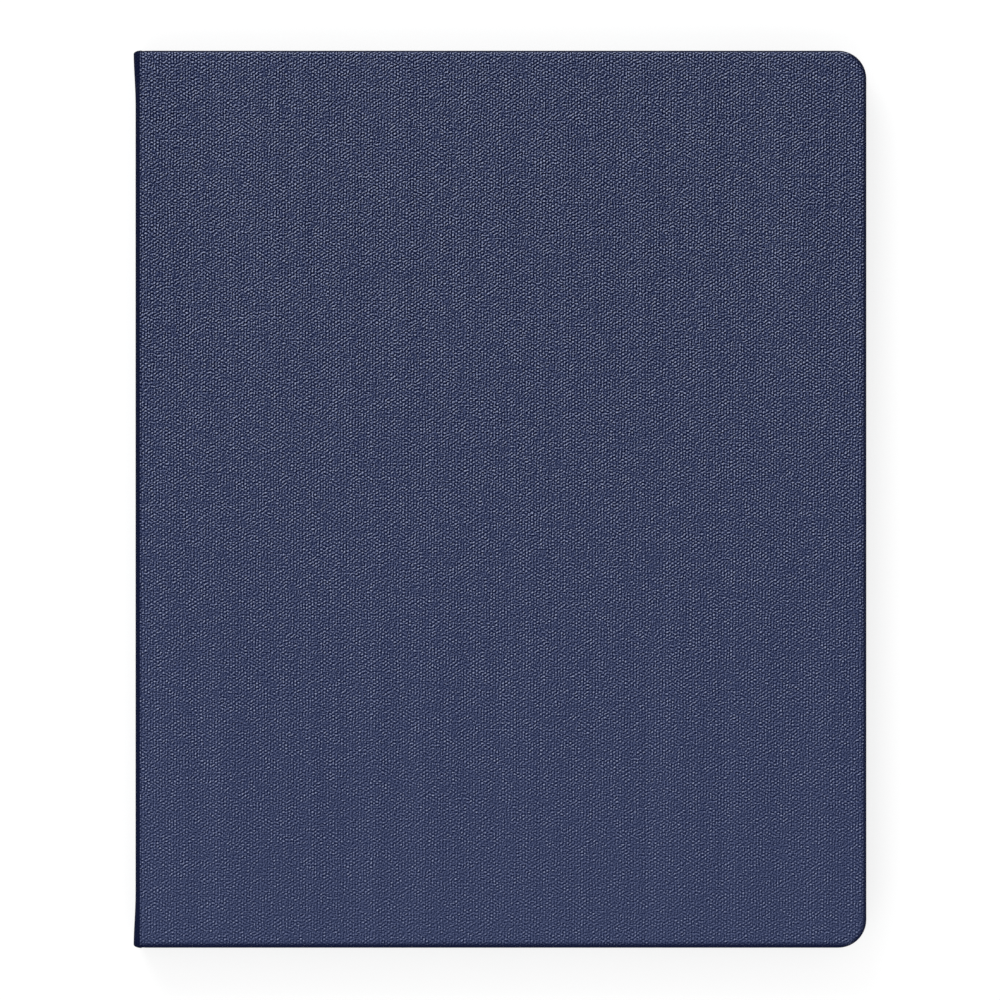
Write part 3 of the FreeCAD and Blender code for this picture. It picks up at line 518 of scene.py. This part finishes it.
# spark-eroded moulding: charcoal and matt, its fine tooth drawn coarser than the real one
key_abs = surface_finish(
    "charcoal_abs",
    "#1C1F27",
    roughness=0.6,
    grain_mm=(0.25, 0.25, 0.25),
    relief_mm=0.02,
    ior=1.54,
)
for part in frame["record"]["subparts"]:
    if part["material_slot"] == "keycap_plastic":
        dress(key_abs, part["node"])
        cap = frame["nodes"][part["node"]]
        weld = cap.modifiers.new("joined", "WELD")
        weld.merge_threshold = SAME_POINT
        rounding = cap.modifiers.new("edges", "BEVEL")
        rounding.width = KEY_EDGE
        rounding.segments = KEY_EDGE_STEPS
        rounding.limit_method = "ANGLE"
        rounding.angle_limit = SHARP


# Key legends
# Pale ink is pad-printed on the key tops, to be read from beyond the space bar.
# At rest the deck lies face down, so a legend reads along -Y, with its head towards the spine.
NUMBERS = "number_keys"
SIGNS = "punctuation_keys"
CONTROLS = "modifier_keys"
ARROWS = "arrow_keys"
ARROW_WAYS = {"up": (0, 1), "left": (-1, 0), "down": (0, -1), "right": (1, 0)}
# the corner of the key field where the first row and the first key of each row start
FIELD_X = -80.0 * MM
FIELD_Y = 107.1 * MM
KEY_PITCH = 15.3 * MM
ROW_PITCH = 17.2 * MM
INK = 0.01 * MM
LETTER_SIZE = 5.0 * MM
WORD_SIZE = 3.0 * MM
LETTER_STEPS = 4
# half the height of a capital, as a share of its size
LETTER_MIDDLE = 0.36
ARROW_SIZE = 1.3 * MM
ARROW_TAIL = 0.7


def letters(signs):
    """Keys of one pitch, each of them a body of its own."""
    return [(sign, 1, f"key_{sign.lower()}") for sign in signs]


def group(signs, body):
    """Keys of one pitch that move as one body."""
    return [(sign, 1, body) for sign in signs]


# the legend of each key, its width in pitches and its body
KEY_ROWS = [
    [("`", 0.75, NUMBERS), *group("1234567890-=", NUMBERS), ("delete", 1.25, "key_backspace")],
    [("tab", 1.25, CONTROLS), *letters("QWERTYUIOP"), *group("[]", SIGNS), ("\\", 0.75, SIGNS)],
    [("caps", 1.5, CONTROLS), *letters("ASDFGHJKL"), *group(";'", SIGNS), ("enter", 1.5, "key_enter")],
    [("shift", 2, "key_shift_left"), *letters("ZXCVBNM"), *group(",./", SIGNS)]
    + [("shift", 1, CONTROLS), ("up", 1, ARROWS)],
    [("fn", 1, CONTROLS), ("ctrl", 1, CONTROLS), ("alt", 1, CONTROLS), ("menu", 1.25, CONTROLS)]
    + [("", 4.75, "key_space"), ("menu", 1.25, CONTROLS), ("alt", 0.75, CONTROLS)]
    + group(("left", "down", "right"), ARROWS),
]


def lettering(text):
    """The outline of a text as points and faces, centred on its own middle."""
    line = bpy.data.curves.new("lettering", "FONT")
    line.body = text
    line.size = LETTER_SIZE if len(text) == 1 else WORD_SIZE
    line.resolution_u = LETTER_STEPS
    made = bpy.data.objects.new("lettering", line)
    bpy.context.scene.collection.objects.link(made)
    mesh = bpy.data.meshes.new_from_object(made.evaluated_get(bpy.context.evaluated_depsgraph_get()))
    points = [Vector(point.co) for point in mesh.vertices]
    faces = [tuple(face.vertices) for face in mesh.polygons]
    places = [point.x for point in points]
    middle = Vector(((min(places) + max(places)) / 2, LETTER_MIDDLE * line.size, 0))
    bpy.data.objects.remove(made)
    bpy.data.meshes.remove(mesh)
    bpy.data.curves.remove(line)
    return [point - middle for point in points], faces


def arrow(way):
    """A triangle that points one way."""
    ahead = Vector((*way, 0)) * ARROW_SIZE
    side = Vector((-ahead.y, ahead.x, 0))
    tail = ahead * ARROW_TAIL
    return [ahead, side - tail, -side - tail], [(0, 1, 2)]


# printed ink: pale grey, slightly uneven, with little gloss
ink = surface_finish("pad_printing_ink", "#C6CBD6", roughness=0.5, grain_mm=(0.2, 0.2, 0.2), mottle=0.05)
legends = {}
key_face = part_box("key_a")[0].z
for row, keys in enumerate(KEY_ROWS):
    start = 0
    for sign, width, body in keys:
        x = FIELD_X + (row + 0.5) * ROW_PITCH
        y = FIELD_Y - (start + width / 2) * KEY_PITCH
        centre = Vector((x, y, key_face - INK))
        start += width
        if sign:
            outline, faces = arrow(ARROW_WAYS[sign]) if body == ARROWS else lettering(sign)
            points, polygons = legends.setdefault(body, ([], []))
            polygons.extend(tuple(corner + len(points) for corner in face) for face in faces)
            points.extend(centre + Vector((-point.y, -point.x, 0)) for point in outline)
for body, (points, polygons) in legends.items():
    legend = mesh_object(f"legend_{body}", points, polygons)
    legend.data.materials.append(ink)
    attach(legend, body)


# Circuit boards
# Both are etched glass-fibre laminate, printed with solder mask.
# The controller board stands on bosses in the bezel, and the small one is glued behind the trackpad.

# solder mask over copper: green, lighter where there are tracks under it
circuit_laminate = surface_finish(
    "solder_masked_laminate",
    "#10583A",
    roughness=0.4,
    grain_mm=(1.5, 0.3, 1.5),
    mottle=0.35,
    ior=1.55,
)
dress(circuit_laminate, "controller_board", "trackpad_board")


# Battery cell
# A flat lithium cell is sealed in a pouch of plastic-coated aluminium foil.
# It is stuck to the inner face of the palm rest, beside the trackpad.

# laminated foil: dull silver with wide shallow dents
pouch_foil = surface_finish(
    "aluminium_pouch_foil",
    "#B6B9BF",
    roughness=0.38,
    grain_mm=(5, 5, 5),
    relief_mm=0.3,
    metallic=0.8,
)
dress(pouch_foil, "battery_cell")


# Charging socket
# Its shell is stamped from thin stainless steel and fixed to the edge of the controller board.
# Its mouth shows in the edge of the deck.

# stamped sheet: bright grey, a little cloudy
socket_steel = surface_finish(
    "stamped_stainless_steel",
    "#AEB1B6",
    roughness=0.3,
    grain_mm=(0.5, 0.5, 0.5),
    metallic=1.0,
)
dress(socket_steel, "charge_port")


# Power switch
# A small acetal knob slides in a slot in the edge of the deck.
# It is moulded in one piece with a flange that keeps it inside the wall.

# matt moulding: black with a soft highlight
acetal = surface_finish("black_acetal", "#23262E", roughness=0.5, grain_mm=(0.3, 0.3, 0.3), ior=1.48)
dress(acetal, "power_switch")


# Closing magnets
# Four neodymium bars along the fore-edge of the deck hold the case shut.
# They are sintered and plated against rust, and stuck to the inner face of the palm rest.

# nickel plate: bright, with a warm grey tint
nickel_plate = surface_finish(
    "nickel_plated_neodymium",
    "#C4C3BE",
    roughness=0.25,
    grain_mm=(1, 1, 1),
    metallic=1.0,
)
dress(nickel_plate, "deck_magnets")


# Deck bezel
# One ABS moulding closes the deck: the sunk key bed, the palm rest and the opening of the trackpad.
# It sits inside the turned edge of the leather and holds the keys by their flanges.

# spark-eroded moulding: slate blue and matt, its fine tooth drawn coarser than the real one
bezel_abs = surface_finish(
    "matt_abs",
    "#343A4C",
    roughness=0.55,
    grain_mm=(0.35, 0.35, 0.35),
    relief_mm=0.03,
    ior=1.54,
)
dress(bezel_abs, "deck_bezel")


# Trackpad
# A clicking plate of hard-coated polycarbonate shows through the palm rest.
# A flange behind the palm rest keeps it in.

# hard coat: smooth and satin, a little lighter than the palm rest
hard_coat = surface_finish(
    "hard_coated_polycarbonate",
    "#3B4154",
    roughness=0.3,
    grain_mm=(0.4, 0.4, 0.4),
    relief_mm=0.004,
    mottle=0.05,
    ior=1.585,
)
dress(hard_coat, "trackpad")


# Screen bumpers
# Four strips of soft moulded rubber are stuck to the face of the bezel.
# They meet the border of the tablet before the keys do.

# moulded rubber: black and dull
rubber = surface_finish("moulded_rubber", "#17181B", roughness=0.8, grain_mm=(0.3, 0.3, 0.3), ior=1.52)
dress(rubber, "screen_bumpers")


# Table
# A wide white table under the case, which keeps its soft shadow.
# To the eye and in reflections it is white. To soft light it is dark, so it hardly lights the case.
TABLE_HALF_WIDTH = 6
TABLE_DROP = 0.02 * MM
TABLE_GLOW = 0.72
TABLE_PALE = 0.36
TABLE_DARK = 0.12
WHITE = (1, 1, 1, 1)


def seen_directly(tree):
    """One for a ray from the camera, a reflection or through glass, and zero for soft light."""
    path = add(tree, "LightPath").outputs
    mirrored = add(tree, "Math", (path["Is Glossy Ray"], path["Is Transmission Ray"]), operation="MAXIMUM")
    return add(tree, "Math", (path["Is Camera Ray"], mirrored), operation="MAXIMUM")


table_corners = [
    (x * TABLE_HALF_WIDTH, y * TABLE_HALF_WIDTH, 0) for x, y in ((-1, -1), (1, -1), (1, 1), (-1, 1))
]
floor = mesh_object("floor", table_corners, [(0, 1, 2, 3)])
white_laminate, table_tree = new_material("white_laminate")
table_seen = seen_directly(table_tree)
table_tone = add(table_tree, "MapRange", {"Value": table_seen, "To Min": TABLE_DARK, "To Max": TABLE_PALE})
table_glow = add(table_tree, "Math", (table_seen, TABLE_GLOW), operation="MULTIPLY")
table_surface = add(
    table_tree,
    "BsdfPrincipled",
    {
        "Base Color": table_tone,
        "Emission Color": WHITE,
        "Emission Strength": table_glow,
        "Roughness": 0.9,
        "Specular IOR Level": 0.1,
    },
)
add(table_tree, "OutputMaterial", {"Surface": table_surface})
floor.data.materials.append(white_laminate)
floor.location.z = -TABLE_DROP


# Studio light
# A soft white sky, brightest overhead, which is plain white to the eye and in reflections.
# Two large soft lights stand at the head and at the foot of the case.
SKY_OVERHEAD = 0.87
SKY_LOW = 0.08

sky = bpy.data.worlds.new("studio")
sky.use_nodes = True
sky_tree = sky.node_tree
sky_tree.nodes.clear()
sky_way = add(sky_tree, "SeparateXYZ", (add(sky_tree, "TexCoord").outputs["Generated"],)).outputs
overhead = add(
    sky_tree,
    "MapRange",
    {"Value": sky_way[2], "To Min": SKY_LOW, "To Max": SKY_OVERHEAD},
    interpolation_type="SMOOTHSTEP",
)
sky_strength = add(sky_tree, "Mix", {0: seen_directly(sky_tree), 2: overhead, 3: 1.0})
backdrop = add(sky_tree, "Background", {"Color": WHITE, "Strength": sky_strength})
add(sky_tree, "OutputWorld", {"Surface": backdrop})
bpy.context.scene.world = sky


def softbox(name, place, size, power):
    """A square light that faces the case."""
    light = bpy.data.lights.new(name, "AREA")
    light.size = size
    light.energy = power
    made = bpy.data.objects.new(name, light)
    made.location = place
    made.rotation_euler = (-Vector(place)).to_track_quat("-Z", "Y").to_euler()
    bpy.context.scene.collection.objects.link(made)


softbox("head_light", place=(-0.35, 0.9, 0.9), size=0.7, power=6.2)
softbox("foot_light", place=(-0.15, -0.8, 1.3), size=1.0, power=4.3)


# Camera
# It looks straight down on the closed case through a long lens.
# Its distance gives the width of the view at the face of the cover.
VIEW_WIDTH = 256.25 * MM
VIEW_MIDDLE = (-0.23 * MM, -0.2 * MM)
LENS = 280
SENSOR = 36

camera = bpy.data.objects.new("camera", bpy.data.cameras.new("camera"))
camera.data.lens = LENS
camera.data.sensor_width = SENSOR
camera.location = (*VIEW_MIDDLE, CASE_TOP + VIEW_WIDTH * LENS / SENSOR)
bpy.context.scene.collection.objects.link(camera)
bpy.context.scene.camera = camera
bpy.context.scene.view_settings.view_transform = "Standard"
